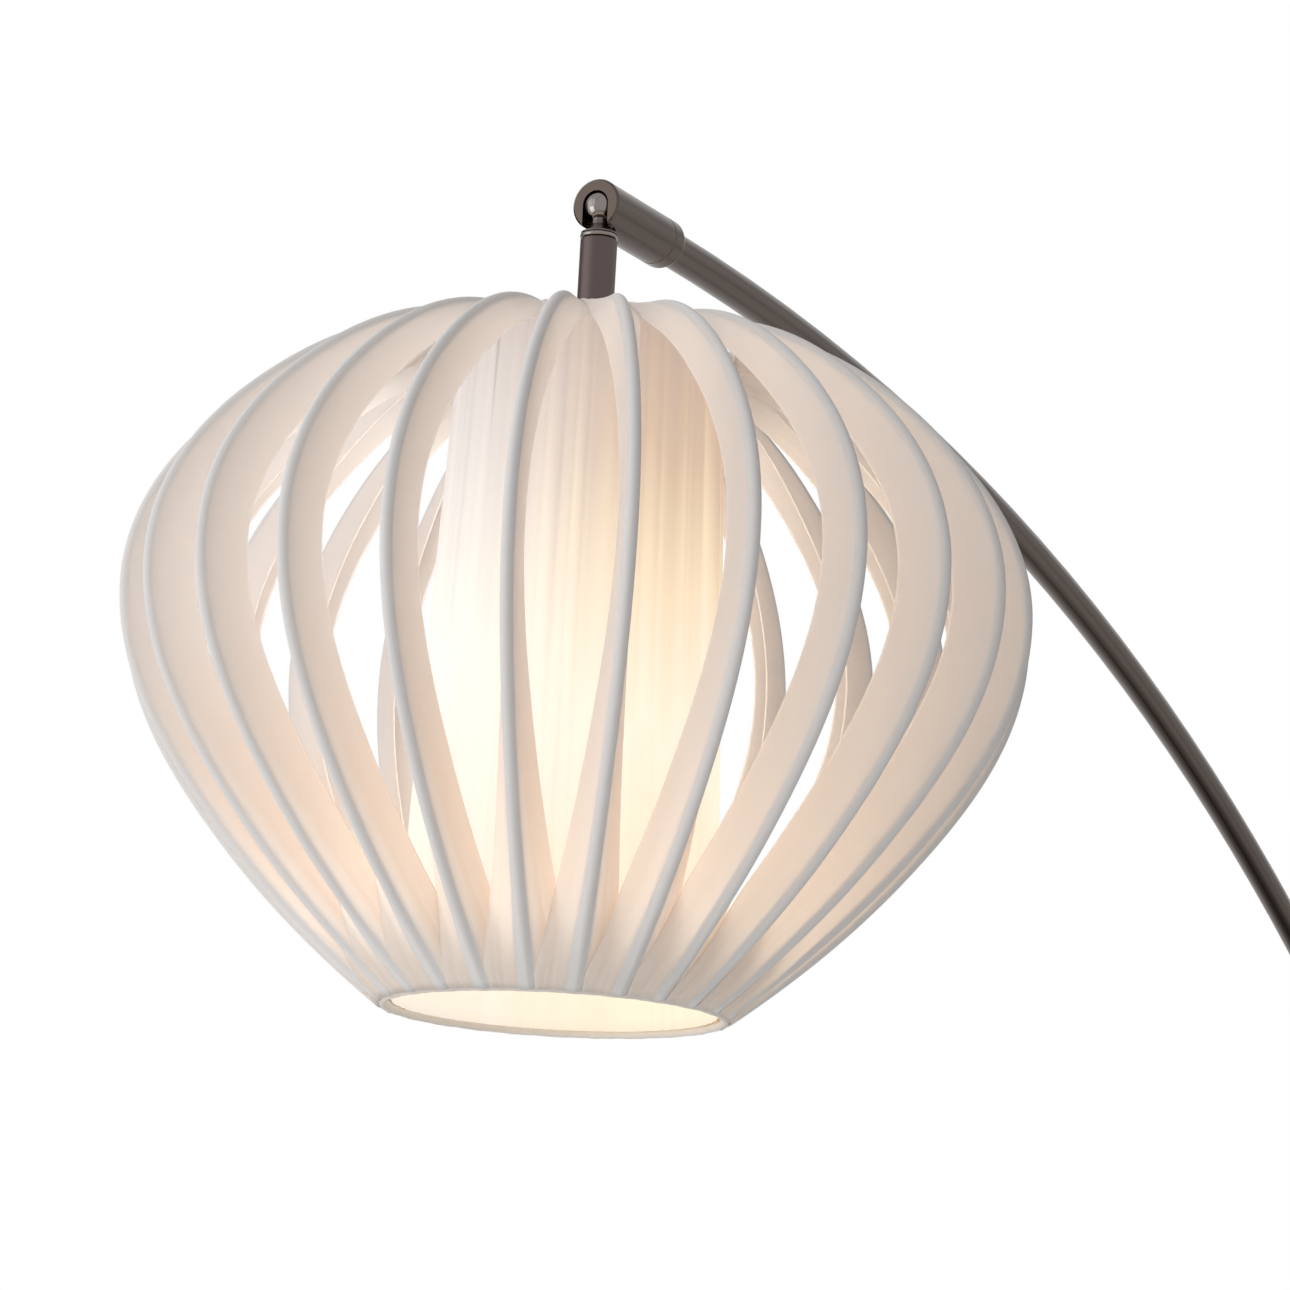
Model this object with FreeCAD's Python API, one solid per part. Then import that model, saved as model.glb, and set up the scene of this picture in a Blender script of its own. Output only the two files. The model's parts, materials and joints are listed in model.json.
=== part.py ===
import FreeCAD, Part
import math
import os

from FreeCAD import Vector

# ---------------------------------------------------------------------------
# Arc floor lamp.  Millimetres, +Z up.  The origin is on the floor under the
# middle of the round base.  The arc lies in the XZ plane and its tip points
# towards -X, so the shade hangs at negative X.
# ---------------------------------------------------------------------------

# Arc: one quarter of a circle, from the vertical foot to the rising tip.
POLE_X = 110.0
ARC_FOOT_Z = 70.0
ARC_RADIUS = 1960.0
TIP_RISE_DEG = 5.3
TIP_STRAIGHT = 57.0
LOWER_MOUTH_DEG = 61.5
UPPER_MOUTH_DEG = 33.0
TUBE_OVERLAP = 60.0

UPPER_TUBE_R = 7.95
UPPER_TUBE_BORE_R = 6.45
MIDDLE_TUBE_R = 9.5
MIDDLE_TUBE_BORE_R = 8.1
LOWER_TUBE_R = 11.1
LOWER_TUBE_BORE_R = 9.65
LEAD_R = 1.8

# Base.
BASE_R = 180.0
PAD_R = 11.0
PAD_H = 2.5
PAD_CIRCLE_R = 155.0
PAD_COUNT = 6
WEIGHT_R = 174.0
WEIGHT_H = 24.0
COVER_WALL = 1.2
COVER_GAP = 0.5
COVER_EDGE_R = 7.0
COVER_LIFT = 0.5
BASE_TOP = PAD_H + WEIGHT_H + COVER_GAP + COVER_WALL
NUT_RECESS_R = 24.0
NUT_RECESS_H = 16.0
NUT_FLATS = 19.0
NUT_H = 6.0
STUD_R = 5.9
STUD_BORE_R = 3.4
STUD_REACH = 7.5
STUD_PLUG_H = 29.0
STUD_PLUG_TAPER = 2.0
COLLAR_R = 18.0
COLLAR_H = 34.0
COLLAR_WEB = 5.0
SEAT_GAP = 0.1
GLAND_R = 5.5
GLAND_FLANGE_R = 7.5
GLAND_INSET = 12.0
GLAND_TAIL = 6.0
CHANNEL_W = 9.0
LEAD_BEND_R = 9.0
LEAD_FLOOR_Z = 7.8

# Swivel at the tip.  Its own frame has the ball's centre at the origin and
# +X running back along the tube.
BALL_R = 7.0
SOCKET_R = 7.3
HEAD_R = 11.2
HEAD_FACE_X = -5.0
HEAD_BACK_X = 48.9
TAIL_FRONT_X = 49.1
TAIL_BACK_X = 59.0
TAIL_SHOULDER_R = 2.2
HEAD_BORE_R = 8.2
THREAD_BORE_R = 9.7
THREAD_R = 9.6
THREAD_FRONT_X = 18.5
SLOT_HALF = 6.1
SLOT_BACK_X = 7.5
TUBE_END_X = 41.0
BARREL_FRONT_X = THREAD_FRONT_X + 0.3
BARREL_BORE_R = 4.0
SEAT_FRONT_X = 4.6
SEAT_BACK_X = 13.5
SPRING_THICK = 1.0
SPRING_BORE_R = 4.2
TAIL_SCREW_X = TAIL_FRONT_X + 4.0

# Neck, collar and drop stem, as depths below the ball's centre.
NECK_R = 3.7
NECK_BORE_R = 2.3
FLARE_TOP = 8.2
FLARE_LIP = 11.4
FLARE_LIP_R = 5.6
FLANGE_TOP = 12.0
FLANGE_R = 7.9
COLLAR_RING_TOP = 12.7
COLLAR_RING_H = 2.0
STEM_TOP = 15.0
STEM_BOTTOM = 60.5
STEM_R = 7.95
STEM_BORE_R = 6.45
SPIGOT_R = 6.38
SPIGOT_END = 30.0
STEM_FOOT_H = 12.0

# Shade, in an upright frame of its own with the ball's centre at the origin.
# Each knot of the rib's outline is (radius, depth, heading in degrees), where
# heading 0 points outwards and 90 straight down.
SHADE_TILT_DEG = 6.54
RIB_COUNT = 25
RIB_PHASE_DEG = 171.85
RIB_KNOTS = [
    (60.0, 62.5, 3.4),
    (147.0, 103.0, 41.6),
    (188.7, 181.5, 90.0),
    (146.0, 276.0, 129.3),
    (70.6, 347.2, 142.9),
]
WIRE_R = 1.1
RING_WIRE_R = 1.5
TOP_RING_R = 60.0
TOP_RING_DEPTH = 62.5
BOTTOM_RING_R = 70.6
BOTTOM_RING_DEPTH = 347.2
SLEEVE_END_GAP = 3.5
SLEEVE_NOSE_R = 2.4
SLEEVE_SHOULDER = 0.8
SLEEVE_SKIN = 1.0
SLEEVE_DEPTH = 19.0
SLEEVE_WAIST = 3.6
SLEEVE_TOP_HALF = 6.6
SLEEVE_BOTTOM_HALF = 8.2
SLEEVE_WAIST_AT = 0.47
SLEEVE_TOP_POWER = 2.5
SLEEVE_BOTTOM_POWER = 2.2
SLEEVE_DEPTH_POWER = 0.7
SLEEVE_LEAST_DEPTH = 1.6
SLEEVE_SECTIONS = 13
DIFFUSER_TOP_R = 57.6
DIFFUSER_BOTTOM_R = 68.2
DIFFUSER_WALL = 0.8
HEM_GAP = 0.15
HEM_WALL = 0.8

# Lampholder and bulb (E27), as depths below the ball's centre.
HUB_R = 17.0
HUB_H = 2.0
SPOKE_COUNT = 3
SPOKE_PHASE_DEG = 60
NIPPLE_R = 4.9
NIPPLE_BORE_R = 3.6
HOLDER_CAP_TOP = 64.0
HOLDER_CAP_H = 20.0
HOLDER_R = 19.5
HOLDER_BOTTOM = 118.0
HOLDER_WALL = 1.6
SHELL_BORE_R = 13.4
BULB_CAP_R = 13.0
BULB_TOP = 92.0
BULB_CAP_H = 25.0
BULB_GLASS_R = 30.0
BULB_GLASS_CENTRE = 172.0
BULB_NECK_R = 12.4
BULB_WALL = 1.0
BULB_THREAD_PITCH = 3.6
BULB_THREAD_TURNS = 5
BULB_THREAD_DEPTH = 0.9
GLASS_JOIN_DEG = 50
GLASS_PULL = 12.0

GRUB_R = 2.0
GRUB_LENGTH = 3.6
GRUB_KEY_R = 1.1
GRUB_KEY_DEPTH = 1.6
FERRULE_WALL = 2.4
FERRULE_GRIP = 14.0
FERRULE_NOSE = 9.0
FERRULE_CLEARANCE = 0.12
FIT = 0.05

ORIGIN = Vector(0, 0, 0)
X_AXIS = Vector(1, 0, 0)
Y_AXIS = Vector(0, 1, 0)
Z_AXIS = Vector(0, 0, 1)

TIP = math.radians(TIP_RISE_DEG)
PIVOT = Vector(
    POLE_X - ARC_RADIUS * (1 - math.sin(TIP)) - TIP_STRAIGHT * math.cos(TIP),
    0,
    ARC_FOOT_Z + ARC_RADIUS * math.cos(TIP) + TIP_STRAIGHT * math.sin(TIP),
)
ARC_CENTRE = Vector(POLE_X - ARC_RADIUS, 0, ARC_FOOT_Z)


# --- helpers ---------------------------------------------------------------


def save(name, shape):
    """Write one node and say how much metal, cloth or plastic it holds."""
    shape.exportStep("parts/" + name + ".step")
    solids = len(shape.Solids)
    print(f"{name:22s} solids {solids:3d}  cm3 {shape.Volume / 1000:9.2f}  valid {shape.isValid()}")


def cylinder(radius, bottom, top, centre=ORIGIN):
    """A round bar along Z between two heights."""
    return Part.makeCylinder(radius, top - bottom, centre + Z_AXIS * bottom)


def bar_x(radius, start, end):
    """A round bar along X between two stations."""
    return Part.makeCylinder(radius, end - start, X_AXIS * start, X_AXIS)


def ring(points, axis_point=ORIGIN, axis=Z_AXIS):
    """Turn a closed outline, given in the XZ plane, all the way round."""
    outline = Part.makePolygon(points + [points[0]])
    return Part.Face(outline).revolve(axis_point, axis, 360)


def turned_z(profile):
    """A piece turned about Z from (radius, height) pairs."""
    return ring([Vector(radius, 0, height) for radius, height in profile])


def turned_x(profile):
    """A piece turned about X from (station, radius) pairs."""
    return ring([Vector(station, 0, radius) for station, radius in profile], ORIGIN, X_AXIS)


def sweep(edges, radius):
    """A round bar that follows a chain of tangent lines and arcs."""
    path = Part.Wire(edges)
    first = path.Edges[0]
    start = first.valueAt(first.FirstParameter)
    heading = first.tangentAt(first.FirstParameter)
    section = Part.Wire([Part.makeCircle(radius, start, heading)])
    return path.makePipeShell([section], True, False)


def arc_point(angle_deg, radius=ARC_RADIUS):
    """A point of the big arc; 90 degrees is the foot and 0 the level top."""
    angle = math.radians(angle_deg)
    return ARC_CENTRE + Vector(radius * math.sin(angle), 0, radius * math.cos(angle))


def arc_edge(from_deg, to_deg):
    """The stretch of the big arc between two angles."""
    middle = (from_deg + to_deg) / 2
    return Part.Arc(arc_point(from_deg), arc_point(middle), arc_point(to_deg)).toShape()


def line_edge(start, end):
    return Part.LineSegment(start, end).toShape()


def on_arc(shape, angle_deg):
    """Move a piece made along +X, from its mouth back to the foot, onto the arc."""
    placed = shape.copy()
    placed.rotate(ORIGIN, Y_AXIS, angle_deg)
    placed.translate(arc_point(angle_deg))
    return placed


def at_tip(shape):
    """Move a piece from the swivel's frame to the end of the tube."""
    placed = shape.copy()
    placed.rotate(ORIGIN, Y_AXIS, TIP_RISE_DEG)
    placed.translate(PIVOT)
    return placed


def at_shade(shape):
    """Move a piece from the upright shade frame to its hanging place."""
    placed = shape.copy()
    placed.rotate(ORIGIN, Y_AXIS, SHADE_TILT_DEG)
    placed.translate(PIVOT)
    return placed


def swivel_point(station):
    """A point on the swivel's long axis."""
    return PIVOT + Vector(station * math.cos(TIP), 0, -station * math.sin(TIP))


# --- base ------------------------------------------------------------------


def floor_pads():
    """Seven alike felt discs: one in the middle and a circle of six."""
    pads = [cylinder(PAD_R, 0, PAD_H)]
    for index in range(PAD_COUNT):
        angle = 2 * math.pi * (index + 0.5) / PAD_COUNT
        centre = Vector(PAD_CIRCLE_R * math.cos(angle), PAD_CIRCLE_R * math.sin(angle), 0)
        pads.append(cylinder(PAD_R, 0, PAD_H, centre))
    return Part.makeCompound(pads)


def base_weight():
    """Cast disc with a pocket for the nut and a channel for the lead."""
    pole = Vector(POLE_X, 0, 0)
    disc = cylinder(WEIGHT_R, PAD_H, PAD_H + WEIGHT_H)
    pocket = cylinder(NUT_RECESS_R, 0, PAD_H + NUT_RECESS_H, pole)
    hole = cylinder(STUD_R + FIT, 0, PAD_H + WEIGHT_H + 1, pole)
    corner = Vector(POLE_X, -CHANNEL_W / 2, 0)
    channel = Part.makeBox(BASE_R, CHANNEL_W, LEAD_FLOOR_Z + CHANNEL_W / 2, corner)
    gland = Part.makeCylinder(
        GLAND_R + FIT, BASE_R, Vector(WEIGHT_R - GLAND_INSET, 0, LEAD_FLOOR_Z), X_AXIS)
    return disc.cut(pocket).cut(hole).cut(channel).cut(gland)


def top_circle(disc, radius):
    """The circular edge of a disc that lies highest."""
    circles = [edge for edge in disc.Edges
               if abs(edge.Length - 2 * math.pi * radius) < 1]
    return max(circles, key=lambda edge: edge.BoundBox.ZMin)


def base_cover():
    """Spun sheet shell over the casting, with a rounded edge."""
    outer = cylinder(BASE_R, PAD_H + COVER_LIFT, BASE_TOP)
    rim = [top_circle(outer, BASE_R)]
    outer = outer.makeFillet(COVER_EDGE_R, rim)
    inner_r = BASE_R - COVER_WALL
    inner = cylinder(inner_r, 0, BASE_TOP - COVER_WALL)
    lid = [top_circle(inner, inner_r)]
    inner = inner.makeFillet(COVER_EDGE_R - COVER_WALL, lid)
    pole = Vector(POLE_X, 0, 0)
    hole = cylinder(STUD_R + FIT, 0, BASE_TOP + 1, pole)
    gland = Part.makeCylinder(
        GLAND_R + FIT, BASE_R, Vector(POLE_X, 0, LEAD_FLOOR_Z), X_AXIS)
    return outer.cut(inner).cut(hole).cut(gland)


def base_collar():
    """Turned collar that receives the foot of the arc."""
    floor = BASE_TOP
    profile = [
        (STUD_R + FIT, floor), (COLLAR_R, floor), (COLLAR_R, floor + 2.5),
        (COLLAR_R - 1.5, floor + 4.0), (LOWER_TUBE_R + 3.2, floor + 9.0),
        (LOWER_TUBE_R + 2.4, floor + COLLAR_H - 1.2), (LOWER_TUBE_R + 1.4, floor + COLLAR_H),
        (LOWER_TUBE_R + FIT, floor + COLLAR_H), (LOWER_TUBE_R + FIT, floor + COLLAR_WEB),
        (STUD_R + FIT, floor + COLLAR_WEB),
    ]
    collar = turned_z(profile)
    collar.translate(Vector(POLE_X, 0, 0))
    return collar


def base_stud():
    """Hollow stud: a plug in the tube's foot and a thread down to the nut."""
    foot = BASE_TOP + COLLAR_WEB
    end = foot + STUD_PLUG_H
    bottom = PAD_H + NUT_RECESS_H - STUD_REACH
    plug_r = LOWER_TUBE_BORE_R - FIT
    profile = [
        (STUD_BORE_R, bottom), (STUD_R - 0.6, bottom), (STUD_R, bottom + 0.8),
        (STUD_R, foot + SEAT_GAP), (plug_r, foot + SEAT_GAP), (plug_r, end - STUD_PLUG_TAPER),
        (plug_r - 1.5, end), (STUD_BORE_R, end),
    ]
    stud = turned_z(profile)
    stud.translate(Vector(POLE_X, 0, 0))
    return stud


def base_nut():
    """Thin hexagon nut that clamps the base from below."""
    top = PAD_H + NUT_RECESS_H
    corner_r = NUT_FLATS / math.sqrt(3)
    corners = [Vector(corner_r * math.cos(math.radians(60 * index)),
                      corner_r * math.sin(math.radians(60 * index)), top - NUT_H)
               for index in range(7)]
    body = Part.Face(Part.makePolygon(corners)).extrude(Z_AXIS * (NUT_H - FIT))
    nut = body.cut(cylinder(STUD_R + FIT, 0, top))
    nut.translate(Vector(POLE_X, 0, 0))
    return nut


def cord_gland():
    """Flanged grommet in the rear edge, where the mains lead comes in."""
    bore = LEAD_R + FIT
    front = WEIGHT_R - GLAND_INSET + 0.5
    profile = [
        (front, bore), (front, GLAND_R), (BASE_R + 0.1, GLAND_R),
        (BASE_R + 0.1, GLAND_FLANGE_R), (BASE_R + 1.6, GLAND_FLANGE_R),
        (BASE_R + 2.6, GLAND_FLANGE_R - 1.2), (BASE_R + GLAND_TAIL, LEAD_R + 1.5),
        (BASE_R + GLAND_TAIL, bore),
    ]
    gland = turned_x(profile)
    gland.translate(Vector(0, 0, LEAD_FLOOR_Z))
    return gland


# --- arc -------------------------------------------------------------------


def overlap_deg():
    return math.degrees(TUBE_OVERLAP / ARC_RADIUS)


def tube(edges, outer_r, bore_r):
    return sweep(edges, outer_r).cut(sweep(edges, bore_r))


def arc_section_lower():
    """Vertical foot and the steepest third of the arc."""
    foot = Vector(POLE_X, 0, BASE_TOP + COLLAR_WEB + SEAT_GAP)
    edges = [line_edge(foot, arc_point(90)), arc_edge(90, LOWER_MOUTH_DEG)]
    return tube(edges, LOWER_TUBE_R, LOWER_TUBE_BORE_R)


def arc_section_middle():
    """Middle third; its foot slides into the lower tube's mouth."""
    edges = [arc_edge(LOWER_MOUTH_DEG + overlap_deg(), UPPER_MOUTH_DEG)]
    return tube(edges, MIDDLE_TUBE_R, MIDDLE_TUBE_BORE_R)


def arc_section_upper():
    """Thinnest third, straight for its last few centimetres in the swivel."""
    edges = [
        arc_edge(UPPER_MOUTH_DEG + overlap_deg(), TIP_RISE_DEG),
        line_edge(swivel_point(TIP_STRAIGHT), swivel_point(TUBE_END_X)),
    ]
    return tube(edges, UPPER_TUBE_R, UPPER_TUBE_BORE_R)


def joint_ferrule(tube_r, inner_r, mouth_deg):
    """Turned sleeve over the mouth of a tube, with a hole for its screw."""
    clear = FERRULE_CLEARANCE
    outer_r = tube_r + FERRULE_WALL
    profile = [
        (FERRULE_GRIP, tube_r + clear), (FERRULE_GRIP, outer_r - 0.8),
        (FERRULE_GRIP - 0.8, outer_r), (-FERRULE_NOSE + 3.0, outer_r),
        (-FERRULE_NOSE, inner_r + 1.2), (-FERRULE_NOSE, inner_r + clear),
        (-0.1, inner_r + clear), (-0.1, tube_r + clear),
    ]
    body = turned_x(profile)
    hole = Part.makeCylinder(GRUB_R + FIT, outer_r + 2, X_AXIS * (-FERRULE_NOSE / 2), Y_AXIS)
    return on_arc(body.cut(hole), mouth_deg)


def grub_screw(start_r):
    """Socket set screw along +Y with a hexagon recess in its outer end."""
    body = Part.makeCylinder(GRUB_R, GRUB_LENGTH, Y_AXIS * start_r, Y_AXIS)
    key_floor = start_r + GRUB_LENGTH - GRUB_KEY_DEPTH
    corners = [Vector(GRUB_KEY_R * math.cos(math.radians(60 * index)), key_floor,
                      GRUB_KEY_R * math.sin(math.radians(60 * index))) for index in range(7)]
    recess = Part.Face(Part.makePolygon(corners)).extrude(Y_AXIS * 2 * GRUB_KEY_DEPTH)
    return body.cut(recess)


def grub_screws():
    """Three alike set screws: one in each ferrule and one in the swivel."""
    station = X_AXIS * (-FERRULE_NOSE / 2)
    screws = []
    for inner_r, mouth_deg in ((MIDDLE_TUBE_R, LOWER_MOUTH_DEG), (UPPER_TUBE_R, UPPER_MOUTH_DEG)):
        screw = grub_screw(inner_r + FERRULE_CLEARANCE + 0.01)
        screw.translate(station)
        screws.append(on_arc(screw, mouth_deg))
    screw = grub_screw(UPPER_TUBE_R + FIT)
    screw.translate(X_AXIS * TAIL_SCREW_X)
    screws.append(at_tip(screw))
    return Part.makeCompound(screws)


def arm_lead():
    """The lead from the gland, through the base and up the whole arc."""
    gland_x = BASE_R + GLAND_TAIL
    bend_x = POLE_X + LEAD_BEND_R
    half = LEAD_BEND_R * math.sqrt(0.5)
    bend = Part.Arc(
        Vector(bend_x, 0, LEAD_FLOOR_Z),
        Vector(bend_x - half, 0, LEAD_FLOOR_Z + LEAD_BEND_R - half),
        Vector(POLE_X, 0, LEAD_FLOOR_Z + LEAD_BEND_R)).toShape()
    edges = [
        line_edge(Vector(gland_x, 0, LEAD_FLOOR_Z), Vector(bend_x, 0, LEAD_FLOOR_Z)),
        bend,
        line_edge(Vector(POLE_X, 0, LEAD_FLOOR_Z + LEAD_BEND_R), arc_point(90)),
        arc_edge(90, TIP_RISE_DEG),
        line_edge(swivel_point(TIP_STRAIGHT), swivel_point(BALL_R + 3.0)),
    ]
    length = sum(edge.Length for edge in edges)
    lead = sweep(edges, LEAD_R)
    print(f"arm lead: length {length:.0f}, bend radii {LEAD_BEND_R:.0f} and {ARC_RADIUS:.0f}, "
          f"volume error {lead.Volume / (math.pi * LEAD_R ** 2 * length) - 1:.5f}")
    return lead


# --- swivel ----------------------------------------------------------------


def swivel_head():
    """Slotted sleeve that holds the ball from in front."""
    body = turned_x([
        (HEAD_FACE_X, 0), (HEAD_FACE_X, HEAD_R - 0.9), (HEAD_FACE_X + 0.9, HEAD_R),
        (HEAD_BACK_X - 0.4, HEAD_R), (HEAD_BACK_X, HEAD_R - 0.4), (HEAD_BACK_X, 0),
    ])
    body = body.cut(Part.makeSphere(SOCKET_R))
    body = body.cut(bar_x(HEAD_BORE_R, 3.6, HEAD_BACK_X))
    body = body.cut(bar_x(THREAD_BORE_R, THREAD_FRONT_X, HEAD_BACK_X + 1))
    cutter_x = SLOT_BACK_X - SLOT_HALF
    below = -HEAD_R - 2
    mill = cylinder(SLOT_HALF, below, 0, X_AXIS * cutter_x)
    run = Part.makeBox(cutter_x - HEAD_FACE_X + 1, 2 * SLOT_HALF, -below,
                       Vector(HEAD_FACE_X - 1, -SLOT_HALF, below))
    arch = bar_x(SLOT_HALF, HEAD_FACE_X - 1, 0)
    return at_tip(body.cut(mill.fuse(run).fuse(arch)))


def swivel_tail():
    """Rear half: a shouldered collar and the threaded barrel that loads the seat."""
    tube_r = UPPER_TUBE_R + FIT
    shoulder = TAIL_BACK_X - TAIL_SHOULDER_R
    mid = TAIL_SHOULDER_R * (1 - math.sqrt(0.5))
    profile = [
        (BARREL_FRONT_X, BARREL_BORE_R), (BARREL_FRONT_X, THREAD_R - 0.6),
        (BARREL_FRONT_X + 0.6, THREAD_R), (TAIL_FRONT_X, THREAD_R),
        (TAIL_FRONT_X, HEAD_R - 0.4), (TAIL_FRONT_X + 0.4, HEAD_R), (shoulder, HEAD_R),
        (TAIL_BACK_X - mid, HEAD_R - mid), (TAIL_BACK_X, HEAD_R - TAIL_SHOULDER_R),
        (TAIL_BACK_X, tube_r), (TUBE_END_X - 0.3, tube_r), (TUBE_END_X - 0.3, BARREL_BORE_R),
    ]
    hole = Part.makeCylinder(GRUB_R + FIT, HEAD_R + 2, X_AXIS * TAIL_SCREW_X, Y_AXIS)
    return at_tip(turned_x(profile).cut(hole))


def ball_seat():
    """Cupped plastic plunger behind the ball."""
    seat = bar_x(HEAD_BORE_R - 0.1, SEAT_FRONT_X, SEAT_BACK_X)
    seat = seat.cut(Part.makeSphere(SOCKET_R)).cut(bar_x(LEAD_R + 0.7, 0, SEAT_BACK_X + 1))
    return at_tip(seat)


def friction_springs():
    """Two disc springs, back to back, between the seat and the barrel."""
    start = SEAT_BACK_X + FIT
    gap = (BARREL_FRONT_X - FIT - start) / 2
    outer_r = HEAD_BORE_R - 0.25
    rise = gap - SPRING_THICK
    first = turned_x([(start, SPRING_BORE_R), (start + SPRING_THICK, SPRING_BORE_R),
                      (start + gap, outer_r), (start + rise, outer_r)])
    second = first.mirror(X_AXIS * (start + gap), X_AXIS)
    return at_tip(Part.makeCompound([first, second]))


def ball_stem():
    """Ball, neck, flare and spigot in one turning, bored and slotted for the lead."""
    ball_foot = -math.sqrt(BALL_R ** 2 - NECK_R ** 2) + 0.3
    lower = turned_z([
        (0, ball_foot), (NECK_R, ball_foot), (NECK_R, -FLARE_TOP),
        (FLARE_LIP_R, -FLARE_LIP), (FLANGE_R, -FLANGE_TOP),
        (FLANGE_R, -COLLAR_RING_TOP + 0.1), (SPIGOT_R, -COLLAR_RING_TOP + 0.1),
        (SPIGOT_R, -SPIGOT_END + 0.6), (SPIGOT_R - 0.6, -SPIGOT_END), (0, -SPIGOT_END),
    ])
    body = Part.makeSphere(BALL_R).fuse(lower)
    bore = cylinder(NECK_BORE_R, -SPIGOT_END - 1, 0)
    slot = Part.makeBox(BALL_R + 1, 2 * NECK_BORE_R, BALL_R + NECK_BORE_R + 1,
                        Vector(0, -NECK_BORE_R, -NECK_BORE_R))
    return at_shade(body.cut(bore.fuse(slot)))


def swivel_collar():
    """Bright bead between the neck and the drop stem."""
    centre = -COLLAR_RING_TOP - COLLAR_RING_H / 2
    band = COLLAR_RING_H / 2
    outer = Part.makeTorus(FLANGE_R - 0.7, band, Z_AXIS * centre)
    web = cylinder(FLANGE_R - 0.7, centre - band, centre + band)
    bore = cylinder(SPIGOT_R + FIT, centre - 5, centre + 5)
    return at_shade(outer.fuse(web).cut(bore))


# --- shade frame, holder and bulb -------------------------------------------


def drop_stem():
    """Straight tube that carries the shade, with a thick threaded foot."""
    profile = [
        (STEM_BORE_R, -STEM_TOP), (STEM_R - 0.4, -STEM_TOP), (STEM_R, -STEM_TOP - 0.4),
        (STEM_R, -STEM_BOTTOM), (NIPPLE_R + FIT, -STEM_BOTTOM),
        (NIPPLE_R + FIT, -STEM_BOTTOM + STEM_FOOT_H), (STEM_BORE_R, -STEM_BOTTOM + STEM_FOOT_H),
    ]
    return at_shade(turned_z(profile))


def shade_nipple():
    """Hollow threaded rod through the stem's foot, the hub and the holder."""
    top = -STEM_BOTTOM + STEM_FOOT_H - 1.0
    bottom = -HOLDER_CAP_TOP - 8.0
    rod = cylinder(NIPPLE_R, bottom, top)
    return at_shade(rod.cut(cylinder(NIPPLE_BORE_R, bottom - 1, top + 1)))


def stem_lead():
    """Lead from the ball's bore down to the holder."""
    return at_shade(cylinder(LEAD_R, -HOLDER_CAP_TOP - 15.0, -4.0))


def shade_spider():
    """Hub plate, three spokes and the top ring, welded into one."""
    hub_top = -STEM_BOTTOM - 0.1
    hub = cylinder(HUB_R, hub_top - HUB_H, hub_top)
    spider = hub.fuse(Part.makeTorus(TOP_RING_R, RING_WIRE_R, Z_AXIS * -TOP_RING_DEPTH))
    for index in range(SPOKE_COUNT):
        spoke = bar_x(RING_WIRE_R, HUB_R - 4.0, TOP_RING_R)
        spoke.translate(Z_AXIS * -TOP_RING_DEPTH)
        spoke.rotate(ORIGIN, Z_AXIS, 360 / SPOKE_COUNT * index + SPOKE_PHASE_DEG)
        spider = spider.fuse(spoke)
    return at_shade(spider.cut(cylinder(NIPPLE_R + FIT, -80, 0)))


def bottom_ring():
    return at_shade(Part.makeTorus(BOTTOM_RING_R, RING_WIRE_R, Z_AXIS * -BOTTOM_RING_DEPTH))


def hem_band():
    """Rolled cloth edge: a channel that wraps the bottom ring from below."""
    inner_r = RING_WIRE_R + HEM_GAP
    outer_r = inner_r + HEM_WALL
    centre = Vector(BOTTOM_RING_R, 0, -BOTTOM_RING_DEPTH)

    def half(radius):
        return [centre + Vector(-radius, 0, 0), centre + Vector(0, 0, -radius),
                centre + Vector(radius, 0, 0)]

    outer = half(outer_r)
    inner = half(inner_r)
    outline = Part.Wire([
        Part.Arc(*outer).toShape(), line_edge(outer[2], inner[2]),
        Part.Arc(inner[2], inner[1], inner[0]).toShape(), line_edge(inner[0], outer[0]),
    ])
    return at_shade(Part.Face(outline).revolve(ORIGIN, Z_AXIS, 360))


def holder_cap():
    """Domed top of the lampholder."""
    top = -HOLDER_CAP_TOP
    profile = [
        (NIPPLE_R + FIT, top), (11.0, top), (16.5, top - 3.0), (HOLDER_R, top - 9.0),
        (HOLDER_R, top - HOLDER_CAP_H), (HOLDER_R - HOLDER_WALL, top - HOLDER_CAP_H),
        (HOLDER_R - HOLDER_WALL, top - 10.0), (15.5, top - 4.6), (10.0, top - 3.0),
        (8.0, top - 9.0), (NIPPLE_R + FIT, top - 9.0),
    ]
    return at_shade(turned_z(profile))


def holder_body():
    """Cylindrical skirt of the lampholder, open towards the bulb."""
    top = -HOLDER_CAP_TOP - HOLDER_CAP_H - 0.1
    inner_r = HOLDER_R - 3.2
    profile = [
        (inner_r, top), (HOLDER_R - 0.6, top), (HOLDER_R - 0.6, -HOLDER_BOTTOM),
        (inner_r, -HOLDER_BOTTOM),
    ]
    return at_shade(turned_z(profile))


def holder_ring():
    """Threaded ring round the skirt."""
    top = -HOLDER_BOTTOM + 14.0
    profile = [
        (HOLDER_R - 0.5, top), (HOLDER_R + 4.5, top), (HOLDER_R + 4.5, top - 2.0),
        (HOLDER_R + 2.0, top - 3.0), (HOLDER_R + 2.0, top - 8.0), (HOLDER_R - 0.5, top - 8.0),
    ]
    return at_shade(turned_z(profile))


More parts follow.
